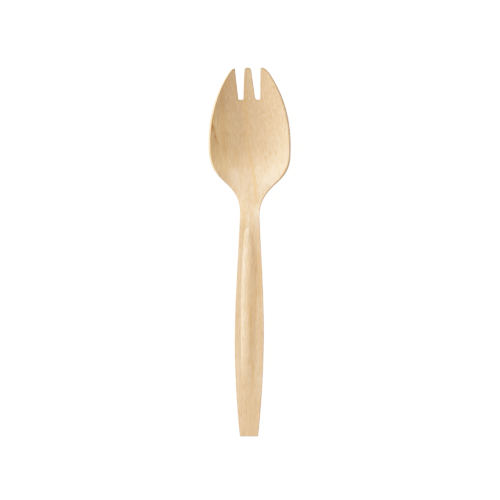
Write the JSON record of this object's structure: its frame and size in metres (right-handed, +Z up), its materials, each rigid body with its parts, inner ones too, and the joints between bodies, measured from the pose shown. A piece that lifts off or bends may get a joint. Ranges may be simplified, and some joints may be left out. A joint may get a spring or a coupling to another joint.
{
  "type": "spork",
  "caption": "Pressed wooden spork with a shallow bowl, short tines cut into its front edge, a narrow neck and a ribbed, flat-ended handle, for eating by hand.",
  "frame": {"origin": "centre of the spork's footprint on the table, lying bowl up on the bowl's heel and the handle's end", "axes": "+Y runs from the handle's end to the tines, +Z up out of the bowl, +X to the right as seen from above with the tines pointing away"},
  "size_m": [0.036, 0.1601, 0.0071],
  "materials": {
    "birch_veneer": "matte, pressed and tumbled, uncoated"
  },
  "bodies": {
    "root": {"birch_spork": "birch_veneer"}
  },
  "joints": []
}
